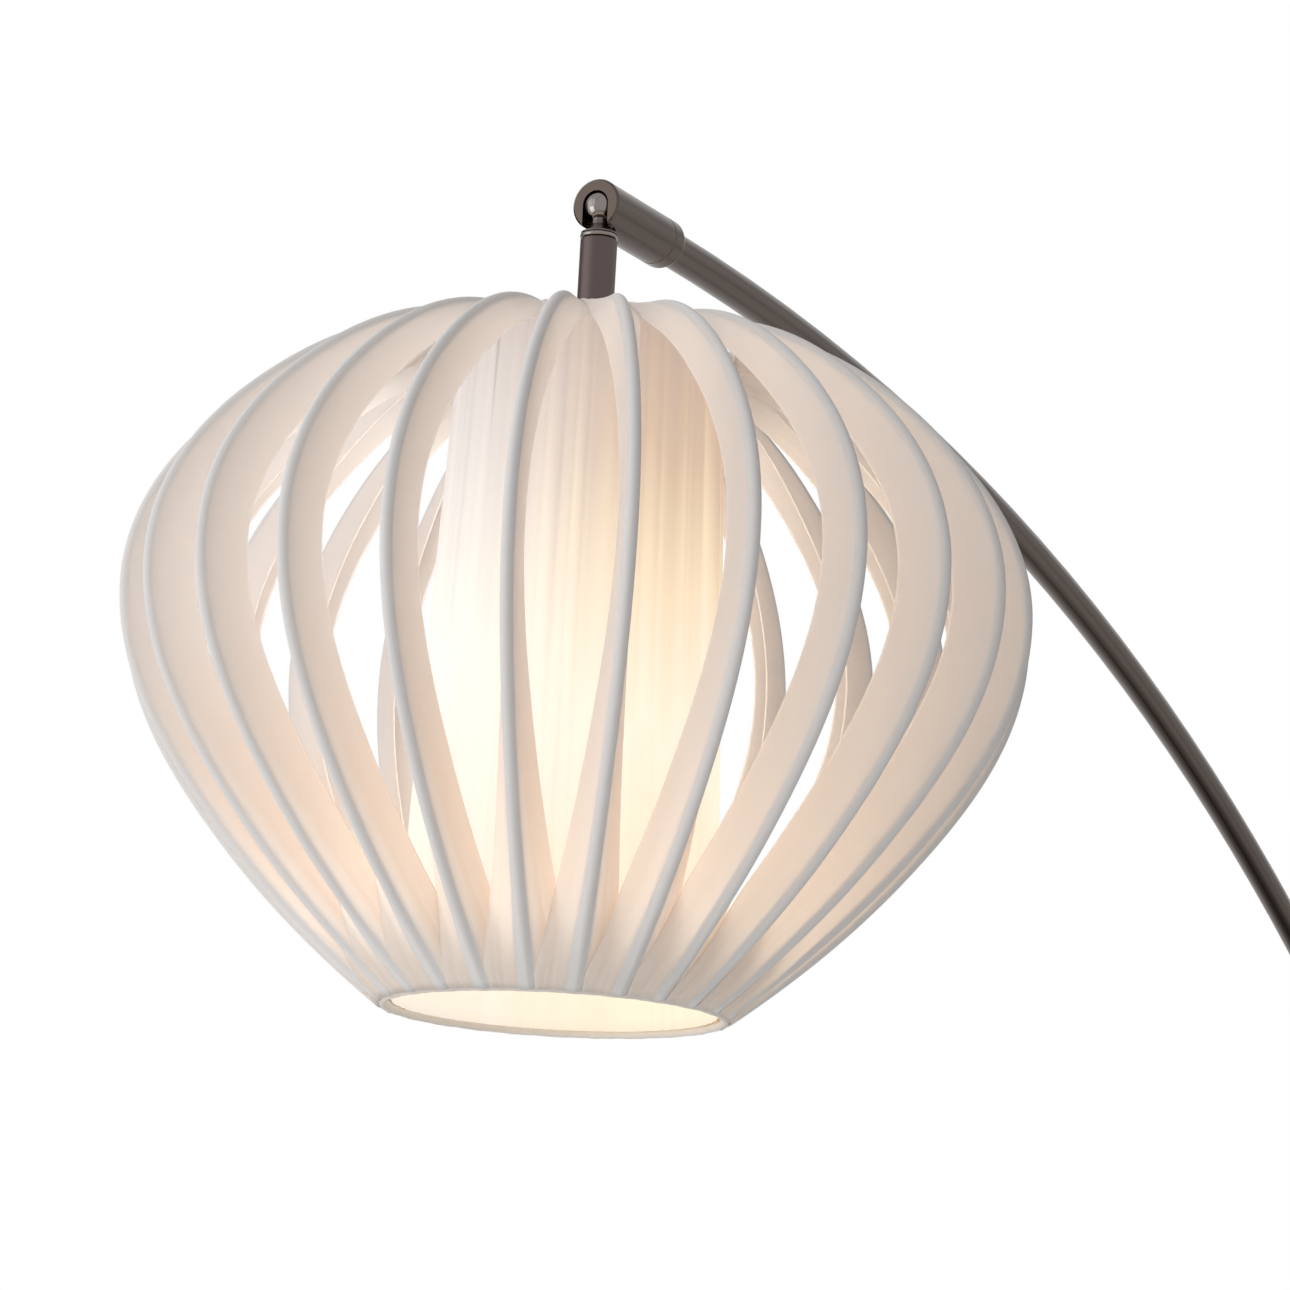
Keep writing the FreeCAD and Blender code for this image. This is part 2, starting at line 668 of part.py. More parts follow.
def holder_core():
    """Ceramic core that carries the screw shell."""
    top = -HOLDER_CAP_TOP - HOLDER_CAP_H + 2.0
    floor = -BULB_TOP + 1.9
    outer_r = HOLDER_R - 3.4
    profile = [
        (2.4, top), (outer_r, top), (outer_r, -HOLDER_BOTTOM + 3.0),
        (SHELL_BORE_R + 0.75, -HOLDER_BOTTOM + 3.0), (SHELL_BORE_R + 0.75, floor),
        (2.4, floor),
    ]
    return at_shade(turned_z(profile))


def holder_contacts():
    """The holder's two live pieces: the thin screw shell and the centre button."""
    shell = turned_z([
        (SHELL_BORE_R, -BULB_TOP + 1.0), (SHELL_BORE_R + 0.6, -BULB_TOP + 1.0),
        (SHELL_BORE_R + 0.6, -HOLDER_BOTTOM + 4.0), (SHELL_BORE_R, -HOLDER_BOTTOM + 4.0),
    ])
    pin_top = -HOLDER_CAP_TOP - HOLDER_CAP_H + 3.5
    button = turned_z([
        (0, pin_top), (2.2, pin_top), (2.2, -BULB_TOP + 1.8), (4.0, -BULB_TOP + 1.8),
        (4.0, -BULB_TOP + 0.6), (0, -BULB_TOP + 0.3),
    ])
    return at_shade(Part.makeCompound([shell, button]))


def bulb_cap():
    """Metal screw cap of the bulb with its round threads and tip."""
    top = -BULB_TOP
    root_r = BULB_CAP_R - BULB_THREAD_DEPTH
    profile = [(0, top), (4.5, top), (5.0, top - 1.5), (10.5, top - 5.0)]
    for turn in range(BULB_THREAD_TURNS):
        root = top - 6.0 - BULB_THREAD_PITCH * turn
        profile += [(root_r, root), (BULB_CAP_R, root - BULB_THREAD_PITCH / 2)]
    profile += [(root_r, top - BULB_CAP_H), (0, top - BULB_CAP_H)]
    return at_shade(turned_z(profile))


def bulb_outline(inset):
    """Half outline of the glass: a round globe that runs into a neck."""
    radius = BULB_GLASS_R - inset
    neck = BULB_NECK_R - inset
    top = -BULB_TOP - BULB_CAP_H - FIT - inset
    join_angle = math.radians(GLASS_JOIN_DEG)
    shoulder = -BULB_GLASS_CENTRE + radius * math.cos(join_angle)
    shoulder_r = radius * math.sin(join_angle)
    centre = Vector(0, 0, -BULB_GLASS_CENTRE)
    low = centre + Vector(0, 0, -radius)
    side = centre + Vector(radius, 0, 0)
    join = Vector(shoulder_r, 0, shoulder)
    neck_low = Vector(neck, 0, top - 9.0)
    neck_top = Vector(neck, 0, top)
    axis_top = Vector(0, 0, top)
    blend = Part.BezierCurve()
    leave = join + Vector(-math.cos(join_angle), 0, math.sin(join_angle)) * GLASS_PULL
    blend.setPoles([join, leave, neck_low - Z_AXIS * GLASS_PULL, neck_low])
    return Part.Wire([
        Part.Arc(low, side, join).toShape(), blend.toShape(), line_edge(neck_low, neck_top),
        line_edge(neck_top, axis_top), line_edge(axis_top, low),
    ])


def bulb_glass():
    """Frosted glass envelope, hollow inside."""
    outer = Part.Face(bulb_outline(0)).revolve(ORIGIN, Z_AXIS, 360)
    inner = Part.Face(bulb_outline(BULB_WALL)).revolve(ORIGIN, Z_AXIS, 360)
    vent = cylinder(4.0, -BULB_TOP - BULB_CAP_H - 5.0, -BULB_TOP)
    return at_shade(outer.cut(inner).cut(vent))


# --- cloth -----------------------------------------------------------------


def heading_vector(heading_deg):
    """Unit step of the rib's outline in (outwards, down)."""
    heading = math.radians(heading_deg)
    return Vector(math.cos(heading), 0, -math.sin(heading))


def far_heading(start, heading, end):
    """Heading of an arc at its far end, mirrored from its near end."""
    chord = end - start
    return chord * (2 * heading.dot(chord) / chord.dot(chord)) - heading


def arc_from(start, heading, end):
    """The arc that leaves start with a heading and passes through end."""
    chord = end - start
    along = Vector(chord).normalize()
    half = heading + along
    half.normalize()
    reach = chord.Length / 2 / half.dot(along)
    return Part.Arc(start, start + half * reach, end).toShape()


def biarc(start, start_heading, end, end_heading):
    """Two tangent arcs that join two points with a heading at each."""
    chord = end - start
    quadratic = 2 * (1 - start_heading.dot(end_heading))
    linear = 2 * chord.dot(start_heading + end_heading)
    reach = (math.sqrt(linear ** 2 + 4 * quadratic * chord.dot(chord)) - linear) / (2 * quadratic)
    joint = (start + start_heading * reach + end - end_heading * reach) * 0.5
    turned = far_heading(start, start_heading, joint)
    return [arc_from(start, start_heading, joint), arc_from(joint, turned, end)]


def rib_edges():
    """The outline of one rib in the XZ plane, as tangent arcs between its knots."""
    edges = []
    for near, far in zip(RIB_KNOTS, RIB_KNOTS[1:]):
        start = Vector(near[0], 0, -near[1])
        end = Vector(far[0], 0, -far[1])
        edges += biarc(start, heading_vector(near[2]), end, heading_vector(far[2]))
    return edges


def rib_frame(edges, station):
    """Point, heading and inward direction at a length along the rib."""
    for edge in edges:
        if station <= edge.Length or edge is edges[-1]:
            break
        station -= edge.Length
    parameter = edge.getParameterByLength(min(station, edge.Length))
    point = edge.valueAt(parameter)
    heading = edge.tangentAt(parameter)
    inward = Vector(heading.z, 0, -heading.x)
    return point, heading, inward


def sleeve_size(share):
    """Half width and depth of the tented ribbon at a share of the rib's length."""
    depth = SLEEVE_DEPTH * math.sin(math.pi * share) ** SLEEVE_DEPTH_POWER
    if share < SLEEVE_WAIST_AT:
        spread = ((SLEEVE_WAIST_AT - share) / SLEEVE_WAIST_AT) ** SLEEVE_TOP_POWER
        half = SLEEVE_WAIST + (SLEEVE_TOP_HALF - SLEEVE_WAIST) * spread
    else:
        spread = ((share - SLEEVE_WAIST_AT) / (1 - SLEEVE_WAIST_AT)) ** SLEEVE_BOTTOM_POWER
        half = SLEEVE_WAIST + (SLEEVE_BOTTOM_HALF - SLEEVE_WAIST) * spread
    return half, max(SLEEVE_LEAST_DEPTH, depth)


def sleeve_section(point, inward, half, depth):
    """Closed outline of the ribbon: a round nose over the wire and two wings."""
    nose = SLEEVE_NOSE_R
    wing_x = half - nose
    wing_y = depth - SLEEVE_SHOULDER
    length = math.hypot(wing_x, wing_y)
    skin_x = -SLEEVE_SKIN * wing_y / length
    skin_y = SLEEVE_SKIN * wing_x / length
    right = [
        (nose * 0.5, -nose * 0.87), (nose * 0.92, -nose * 0.38), (nose, SLEEVE_SHOULDER),
        (half, depth), (half + skin_x, depth + skin_y),
        (nose + skin_x, SLEEVE_SHOULDER + skin_y + 0.1),
    ]
    underside = nose * 0.5 + SLEEVE_SKIN
    left = [(-across, inwards) for across, inwards in reversed(right)]
    outline = [(0, -nose)] + right + [(0, underside)] + left
    corners = [point + Y_AXIS * across + inward * inwards for across, inwards in outline]
    return Part.makePolygon(corners + [corners[0]])


def rib_azimuth(index):
    return RIB_PHASE_DEG - 360 / RIB_COUNT * index


def rib_wires():
    """Bent wires from the top ring to the bottom ring, one solid each."""
    wire = sweep(rib_edges(), WIRE_R)
    seat_r = RING_WIRE_R + 0.1
    wire = wire.cut(Part.makeTorus(TOP_RING_R, seat_r, Z_AXIS * -TOP_RING_DEPTH))
    wire = wire.cut(Part.makeTorus(BOTTOM_RING_R, seat_r, Z_AXIS * -BOTTOM_RING_DEPTH))
    wire = max(wire.Solids, key=lambda solid: solid.Volume)
    wires = []
    for index in range(RIB_COUNT):
        copy = wire.copy()
        copy.rotate(ORIGIN, Z_AXIS, rib_azimuth(index))
        wires.append(copy)
    return at_shade(Part.makeCompound(wires))


def rib_sleeve():
    """Stretch ribbon over one rib wire, before it is turned to its place."""
    edges = rib_edges()
    length = sum(edge.Length for edge in edges)
    usable = length - 2 * SLEEVE_END_GAP
    sections = []
    for step in range(SLEEVE_SECTIONS):
        station = SLEEVE_END_GAP + usable * step / (SLEEVE_SECTIONS - 1)
        point, heading, inward = rib_frame(edges, station)
        half, depth = sleeve_size(station / length)
        sections.append(sleeve_section(point, inward, half, depth))
    body = Part.makeLoft(sections, True, False)
    return body.cut(sweep(edges, WIRE_R + FIT))


def diffuser():
    """Inner tube of cloth round the bulb, open at both ends."""
    top = -TOP_RING_DEPTH - RING_WIRE_R - 0.3
    bottom = -BOTTOM_RING_DEPTH + 0.2
    profile = [
        (DIFFUSER_TOP_R - DIFFUSER_WALL, top), (DIFFUSER_TOP_R, top),
        (DIFFUSER_BOTTOM_R, bottom), (DIFFUSER_BOTTOM_R - DIFFUSER_WALL, bottom),
    ]
    return at_shade(turned_z(profile))


# --- the whole lamp ----------------------------------------------------------


def main():
    os.makedirs("parts", exist_ok=True)
    lower_ferrule = joint_ferrule(LOWER_TUBE_R, MIDDLE_TUBE_R, LOWER_MOUTH_DEG)
    upper_ferrule = joint_ferrule(MIDDLE_TUBE_R, UPPER_TUBE_R, UPPER_MOUTH_DEG)
    nodes = {
        "floor_pads": floor_pads(),
        "base_weight": base_weight(),
        "base_cover": base_cover(),
        "base_collar": base_collar(),
        "base_stud": base_stud(),
        "base_nut": base_nut(),
        "cord_gland": cord_gland(),
        "arc_section_lower": arc_section_lower(),
        "arc_section_middle": arc_section_middle(),
        "arc_section_upper": arc_section_upper(),
        "ferrule_lower": lower_ferrule,
        "ferrule_upper": upper_ferrule,
        "grub_screws": grub_screws(),
        "arm_lead": arm_lead(),
        "swivel_head": swivel_head(),
        "swivel_tail": swivel_tail(),
        "ball_seat": ball_seat(),
        "friction_springs": friction_springs(),
        "ball_stem": ball_stem(),
        "swivel_collar": swivel_collar(),
        "drop_stem": drop_stem(),
        "shade_nipple": shade_nipple(),
        "stem_lead": stem_lead(),
        "shade_spider": shade_spider(),
        "bottom_ring": bottom_ring(),
        "hem_band": hem_band(),
        "rib_wires": rib_wires(),
        "diffuser": diffuser(),
        "holder_cap": holder_cap(),
        "holder_body": holder_body(),
        "holder_ring": holder_ring(),
        "holder_core": holder_core(),
        "holder_contacts": holder_contacts(),
        "bulb_cap": bulb_cap(),
        "bulb_glass": bulb_glass(),
    }
    for name, shape in nodes.items():
        save(name, shape)
    sleeve = rib_sleeve()
    for index in range(RIB_COUNT):
        copy = sleeve.copy()
        copy.rotate(ORIGIN, Z_AXIS, rib_azimuth(index))
        save(f"rib_sleeve_{index + 1:02d}", at_shade(copy))
    print("ball centre", PIVOT)


main()
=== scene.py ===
# %% [markdown]
# # Arc floor lamp: the looks
# The lamp's metal parts come ready-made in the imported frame, so this lesson gives them
# their finishes and then makes what only cloth can be: twenty-five stretch ribbons tented
# over bent wires, a pleated inner tube that glows, and a rolled hem round its mouth.
# The frame is loaded first, and every size below starts from what it says.

# %% Load the frame
import json
import math

import bpy
import mathutils
import numpy as np
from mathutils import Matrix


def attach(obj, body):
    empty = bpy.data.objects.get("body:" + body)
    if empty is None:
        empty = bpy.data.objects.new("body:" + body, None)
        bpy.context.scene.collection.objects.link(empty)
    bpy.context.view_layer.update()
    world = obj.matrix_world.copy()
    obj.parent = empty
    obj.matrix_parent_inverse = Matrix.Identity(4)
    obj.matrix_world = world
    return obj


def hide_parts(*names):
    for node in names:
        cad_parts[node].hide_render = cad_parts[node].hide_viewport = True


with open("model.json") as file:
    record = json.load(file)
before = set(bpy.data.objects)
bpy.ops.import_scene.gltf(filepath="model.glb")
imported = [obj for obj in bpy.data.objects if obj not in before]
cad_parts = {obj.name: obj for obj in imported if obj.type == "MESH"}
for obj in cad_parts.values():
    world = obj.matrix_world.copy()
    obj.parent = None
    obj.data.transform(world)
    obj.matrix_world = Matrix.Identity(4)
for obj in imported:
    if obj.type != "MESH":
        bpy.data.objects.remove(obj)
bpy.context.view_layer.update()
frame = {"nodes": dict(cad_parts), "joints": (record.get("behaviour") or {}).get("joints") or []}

# %% [markdown]
# ## Where things hang
# The shade swings about the middle of the ball, so that point and the stem's own direction
# are all that is needed to place every piece of cloth. The record's two joints hold both.
# `down` runs along the stem, `out` points away from the pole and `across` is level.

# %% The shade's own axes
MM = 0.001
joints = {joint["name"]: joint for joint in frame["joints"]}
ball = np.array(joints["shade_tilt"]["pos_m"], float)
down = np.array(joints["shade_turn"]["axis"], float)
down /= np.linalg.norm(down)
across = np.array((0.0, 1.0, 0.0))
out = np.cross(across, down)


def in_shade(radius, depth, angle):
    """Room points: ball + depth * down + radius * (cos(angle) * out + sin(angle) * across)."""
    spoke = np.cos(angle)[..., None] * out + np.sin(angle)[..., None] * across
    return ball + depth[..., None] * down + radius[..., None] * spoke


print("ball centre", ball.round(4), "stem direction", down.round(4))

# %% [markdown]
# ## The camera
# The lamp is seen from a little below the shade's widest line, so the camera stands low and
# looks slightly up. A long lens keeps the ribs from bulging. The ball sits high in the
# picture and left of its middle, and the tube runs out of the picture at the right.

# %% Camera
SENSOR_MM = 36.0
LENS_MM = 118.15
BACK = 1.8155
TURN = math.radians(62.2)
LOOK_UP = math.radians(6.65)
BALL_LEFT_OF_MIDDLE = 0.0189
BALL_ABOVE_MIDDLE = 0.1878

right = np.array((math.cos(TURN), -math.sin(TURN), 0.0))
level = np.array((math.sin(TURN), math.cos(TURN), 0.0))
forward = math.cos(LOOK_UP) * level + math.sin(LOOK_UP) * np.array((0.0, 0.0, 1.0))
upward = np.cross(right, forward)
eye = ball + BALL_LEFT_OF_MIDDLE * right - BALL_ABOVE_MIDDLE * upward - BACK * forward

camera_data = bpy.data.cameras.new("camera")
camera_data.sensor_width = SENSOR_MM
camera_data.lens = LENS_MM
camera = bpy.data.objects.new("camera", camera_data)
bpy.context.scene.collection.objects.link(camera)
placing = np.eye(4)
placing[:3, :3] = np.stack([right, upward, -forward], 1)
placing[:3, 3] = eye
camera.matrix_world = mathutils.Matrix(placing.tolist())
bpy.context.scene.camera = camera
print("camera at", eye.round(3))

# %% [markdown]
# ## Studio
# The lamp hangs in a white tent. The tent's left side is a wide bright window and its right
# side is in shade, which gives every rib a light flank and a grey one. What the metal
# mirrors is set apart from what lights the cloth: an even wall that darkens towards the
# ground, brighter at the left, with a dark strip that draws the dark edge on the stem and
# two thin seams. Each seam lies where the tube mirrors it as a fine line along its length.
# What the camera sees straight on is plain white, whichever way it looks, and a pale
# floor takes the base's soft shadow.

# %% Sockets as numbers


class Value:
    """One output socket that can be used in ordinary sums; each sum adds its Math node."""

    def __init__(self, shop, socket):
        self.shop = shop
        self.socket = socket

    def maths(self, operation, *others):
        """A Math node of this operation on the value."""
        return self.shop.make("ShaderNodeMath", {"operation": operation}, self, *others)

    def __add__(self, other):
        return self.maths("ADD", other)

    __radd__ = __add__

    def __mul__(self, other):
        return self.maths("MULTIPLY", other)

    __rmul__ = __mul__

    def __sub__(self, other):
        return self.maths("SUBTRACT", other)

    def __rsub__(self, other):
        return self.shop.make("ShaderNodeMath", {"operation": "SUBTRACT"}, other, self)

    def __truediv__(self, other):
        return self.maths("DIVIDE", other)

    def smooth(self, low, high):
        """0 below low, 1 above high and a smooth step between."""
        settings = {"interpolation_type": "SMOOTHSTEP"}
        return self.shop.make("ShaderNodeMapRange", settings, self, low, high, 0.0, 1.0)


class Shop:
    """Makes the nodes of one node tree."""

    def __init__(self, tree):
        self.tree = tree
        tree.nodes.clear()

    def make(self, kind, settings=None, *values, output=0, **named):
        """One node: settings first, then its inputs in order or by name."""
        node = self.tree.nodes.new(kind)
        for key, setting in (settings or {}).items():
            if key == "stops":
                ramp = node.color_ramp
                while len(ramp.elements) < len(setting):
                    ramp.elements.new(0.5)
                for element, (place, colour) in zip(ramp.elements, setting):
                    element.position = place
                    element.color = (*colour, 1.0)
            else:
                setattr(node, key, setting)
        inputs = list(enumerate(values)) + [(key.replace("_", " "), v) for key, v in named.items()]
        for key, value in inputs:
            socket = node.inputs[key]
            if isinstance(value, Value):
                self.tree.links.new(value.socket, socket)
            elif value is not None:
                socket.default_value = (*value, 1.0) if needs_alpha(socket, value) else value
        return Value(self, node.outputs[output])

    def noise(self, vector, scale, detail=2.0, roughness=0.5):
        """A Noise Texture's value, 0 to 1 and 0.5 on average."""
        return self.make("ShaderNodeTexNoise", None, Vector=vector, Scale=scale,
                         Detail=detail, Roughness=roughness)

    def stretch(self, vector, scale):
        """A Mapping node that scales a vector."""
        return self.make("ShaderNodeMapping", None, Vector=vector, Scale=scale)

    def colour_mix(self, share, first, second):
        """A Mix node on colours: share 0 is the first and 1 is the second."""
        mix = self.tree.nodes.new("ShaderNodeMix")
        mix.data_type = "RGBA"
        for key, value in ((0, share), (6, first), (7, second)):
            socket = mix.inputs[key]
            if isinstance(value, Value):
                self.tree.links.new(value.socket, socket)
            else:
                socket.default_value = (*value, 1.0) if needs_alpha(socket, value) else value
        return Value(self, mix.outputs[2])

    def bump(self, height, distance):
        """A normal from a height of 0 to 1 that stands for a distance in metres."""
        return self.make("ShaderNodeBump", None, Distance=distance, Height=height)


def needs_alpha(socket, value):
    """Whether a three-number colour meets a socket that wants four."""
    return socket.type == "RGBA" and len(value) == 3


def linear(red, green, blue):
    """A screen colour, 0 to 255, as the linear colour that shaders use."""
    share = np.array((red, green, blue)) / 255
    curve = np.where(share <= 0.04045, share / 12.92, ((share + 0.055) / 1.055) ** 2.4)
    return tuple(float(v) for v in curve)


print("node helpers ready")

# %% The room's brightness
WINDOW = 0.86
SHADE_SIDE = 0.1
CEILING = 0.3
MIRROR_HIGH = 0.78
MIRROR_LOW = 0.1
GLOW = 0.7
STRIP_LEVEL = 0.1
SEAM_LEVEL = 0.45
SEAM_HEIGHTS = (0.16, -0.43)
scene = bpy.context.scene
scene.view_settings.view_transform = "Standard"
scene.view_settings.look = "None"

world = bpy.data.worlds.new("studio")
world.use_nodes = True
scene.world = world
room = Shop(world.node_tree)
heading = room.make("ShaderNodeTexCoord", output="Generated")


def toward(direction):
    """Cosine of the angle between a ray and a direction."""
    return room.make("ShaderNodeVectorMath", {"operation": "DOT_PRODUCT"}, heading,
                     tuple(float(v) for v in direction), output="Value")


def mirrored_way(slope_deg, rise):
    """Where a sloping tube mirrors the room, at a share of its radius above its middle line."""
    slope = math.radians(slope_deg)
    axis = np.array((math.cos(slope), 0.0, -math.sin(slope)))
    facing = (forward @ axis) * axis - forward
    facing /= np.linalg.norm(facing)
    side = np.cross(axis, facing)
    side *= np.sign(side[2])
    normal = math.sqrt(1 - rise ** 2) * facing + rise * side
    return forward - 2 * (forward @ normal) * normal


# %% What the cloth and the metal see
window = toward(-right).smooth(-0.75, 0.8)
tent_light = window * (WINDOW - SHADE_SIDE) + SHADE_SIDE
height = toward((0.0, 0.0, 1.0))
tent_light = tent_light + height.smooth(0.1, 0.9) * CEILING
strip_way = 0.62 * forward - 0.785 * right
strip = toward(strip_way).smooth(0.90, 0.97)
mirrored = height.smooth(-1.0, -0.55) * (MIRROR_HIGH - MIRROR_LOW) + MIRROR_LOW
glow_way = -0.95 * right - 0.2 * forward + 0.25 * upward
mirrored = mirrored + toward(glow_way).smooth(0.72, 0.98) * GLOW
mirrored = mirrored * (1 - strip * (1 - STRIP_LEVEL))
for rise in SEAM_HEIGHTS:
    seam_pole = np.cross(mirrored_way(5.3, rise), mirrored_way(25.0, rise))
    seam_pole /= np.linalg.norm(seam_pole)
    clear = toward(seam_pole).maths("ABSOLUTE").smooth(0.014, 0.03)
    mirrored = mirrored * (clear * (1 - SEAM_LEVEL) + SEAM_LEVEL)
in_metal = room.make("ShaderNodeLightPath", output="Is Glossy Ray")
tent_light = in_metal * (mirrored - tent_light) + tent_light
seen = room.make("ShaderNodeLightPath", output="Is Camera Ray")
white = (1.0, 1.0, 1.0)
sky = room.make("ShaderNodeBackground", None, white, seen * (1 - tent_light) + tent_light)
room.tree.links.new(sky.socket, room.tree.nodes.new("ShaderNodeOutputWorld").inputs[0])
print("tent: window", WINDOW, "shaded side", SHADE_SIDE, "mirrored wall", MIRROR_HIGH)

# %% Softboxes and floor


def softbox(name, place, aim, size, power, colour=white):
    """A square area light at a place, turned to shine at a point."""
    data = bpy.data.lights.new(name, "AREA")
    data.size = size
    data.energy = power
    data.color = colour
    lamp = bpy.data.objects.new(name, data)
    scene.collection.objects.link(lamp)
    z_axis = np.array(place) - np.array(aim)
    z_axis /= np.linalg.norm(z_axis)
    x_axis = np.cross((0.0, 0.0, 1.0), z_axis)
    x_axis /= np.linalg.norm(x_axis)
    turn = np.eye(4)
    turn[:3, :3] = np.stack([x_axis, np.cross(z_axis, x_axis), z_axis], 1)
    turn[:3, 3] = place
    lamp.matrix_world = mathutils.Matrix(turn.tolist())
    return lamp


shade_middle = ball + 0.2 * down
key_place = shade_middle - 2.2 * right - 0.9 * forward - 0.5 * upward
fill_place = shade_middle - 0.3 * right - 2.4 * forward - 0.2 * upward
softbox("key", key_place, shade_middle, 1.5, 11.0)
fill = softbox("fill", fill_place, shade_middle, 1.8, 4.0)
fill.visible_glossy = False

FLOOR_HALF = 6.0
floor_mesh = bpy.data.meshes.new("floor")
turns = ((-1, -1), (1, -1), (1, 1), (-1, 1))
corners = [(x * FLOOR_HALF, y * FLOOR_HALF, 0.0) for x, y in turns]
floor_mesh.from_pydata(corners, [], [(0, 1, 2, 3)])
floor = bpy.data.objects.new("floor", floor_mesh)
scene.collection.objects.link(floor)
floor.visible_glossy = False
print("studio ready")

# %% [markdown]
# ## Finishes for the metal
# The tube and the swivel are plated in a dark, warm nickel: smooth enough to mirror the
# room in long streaks and soft enough to blur them. A real plating is never quite even,
# so its roughness and colour drift a little over a few centimetres, and very fine lines
# left by polishing run round the tube. The ball and the bead are the same metal, polished.

# %% Material helper


def material(name, build):
    """A new material: build gets a shop and returns the final shader."""
    made = bpy.data.materials.new(name)
    made.use_nodes = True
    shop = Shop(made.node_tree)
    surface = build(shop)
    end = shop.tree.nodes.new("ShaderNodeOutputMaterial")
    shop.tree.links.new(surface.socket, end.inputs["Surface"])
    return made


def principled(shop, **sockets):
    """A Principled shader with these sockets set or linked."""
    return shop.make("ShaderNodeBsdfPrincipled", None, **sockets)


def object_place(shop):
    """The place on the object, in metres of the shared frame."""
    return shop.make("ShaderNodeTexCoord", output="Object")


# %% Plated metal


def plated(dark, light, rough_low, rough_high, grain):
    """Dark nickel plate: two close colours and a drifting roughness."""

    def build(shop):
        place = object_place(shop)
        drift = shop.noise(place, 5.0, 2.0)
        fine = shop.noise(place, 1400.0, 2.0)
        colour = shop.colour_mix(drift.smooth(0.2, 0.8), dark, light)
        rough = drift * (rough_high - rough_low) + rough_low + (fine - 0.5) * 0.05
        return principled(shop, Base_Color=colour, Metallic=1.0, Roughness=rough,
                          Normal=shop.bump(fine, grain))

    return build


gunmetal = material("gunmetal", plated(
    linear(94, 84, 78), linear(99, 88, 82), 0.15, 0.21, 0.000002))
satin_stem = material("satin_stem", plated(
    linear(98, 86, 85), linear(104, 92, 91), 0.36, 0.44, 0.000003))
dark_chrome = material("dark_chrome", plated(
    linear(138, 132, 128), linear(150, 145, 141), 0.06, 0.12, 0.000001))
BALL_EDGE = 0.0072


def part_polished(shop):
    """Mirror polish on the ball, and the tube's satin on the neck and flare below it."""
    place = object_place(shop)
    from_ball = shop.make("ShaderNodeVectorMath", {"operation": "DISTANCE"}, place,
                          tuple(float(v) for v in ball), output="Value")
    satin = from_ball.smooth(BALL_EDGE - 0.0001, BALL_EDGE + 0.0002)
    drift = shop.noise(place, 60.0)
    colour = shop.colour_mix(satin, linear(144, 138, 134), linear(112, 102, 98))
    rough = satin * 0.26 + drift * 0.06 + 0.06
    return principled(shop, Base_Color=colour, Metallic=1.0, Roughness=rough)


ball_finish = material("ball_finish", part_polished)
print("plated metals made")

# %% [markdown]
# ## Finishes for what is hidden or low down
# The casting is painted and coarse, the pads are felt, the grommet and the lead are rubber
# and the nut, stud and screws are zinc. Each is noise of the right size: grains of a
# millimetre for the casting, fibres for felt and a faint cloudiness for zinc.

# %% Other solid finishes


def grainy(dark, light, size, rough, height, metallic=0.0):
    """A surface of one noise: its colour, roughness and relief share the same grains."""

    def build(shop):
        grains = shop.noise(object_place(shop), size, 4.0, 0.6)
        colour = shop.colour_mix(grains.smooth(0.3, 0.7), dark, light)
        return principled(shop, Base_Color=colour, Metallic=metallic,
                          Roughness=grains * 0.2 + (rough - 0.1), Normal=shop.bump(grains, height))

    return build


cast_iron = material("cast_iron", grainy(
    linear(30, 30, 31), linear(48, 47, 47), 700, 0.75, 0.0003))
felt = material("felt", grainy(linear(36, 35, 36), linear(70, 68, 68), 1600, 0.95, 0.0004))
rubber = material("rubber", grainy(linear(22, 22, 23), linear(34, 34, 35), 500, 0.6, 0.00002))
zinc = material("zinc", grainy(
    linear(165, 166, 168), linear(196, 197, 198), 220, 0.4, 0.00001, 1.0))
enamel = material("enamel", grainy(
    linear(232, 231, 229), linear(240, 240, 238), 300, 0.4, 0.00002))
holder_white = material("holder_white", grainy(
    linear(224, 223, 219), linear(232, 231, 228), 240, 0.42, 0.00001))
ceramic = material("ceramic", grainy(
    linear(226, 222, 214), linear(238, 235, 228), 120, 0.22, 0.00001))
brass = material("brass", grainy(
    linear(190, 160, 96), linear(212, 182, 116), 160, 0.3, 0.00001, 1.0))
bright_cap = material("bright_cap", grainy(
    linear(188, 188, 190), linear(210, 210, 212), 260, 0.28, 0.00001, 1.0))
floor_paint = material("floor_paint", grainy(
    linear(238, 238, 237), linear(243, 243, 242), 40, 0.8, 0.00001))
floor_mesh.materials.append(floor_paint)


def lit_glass(shop):
    """Frosted envelope of a burning bulb: white glass with a warm, even light."""
    cloud = shop.noise(object_place(shop), 60.0)
    light = shop.colour_mix(cloud, linear(255, 232, 190), linear(255, 240, 208))
    return principled(shop, Base_Color=linear(245, 240, 230), Roughness=cloud * 0.1 + 0.35,
                      Emission_Color=light, Emission_Strength=3.0)


bulb_light = material("bulb_light", lit_glass)

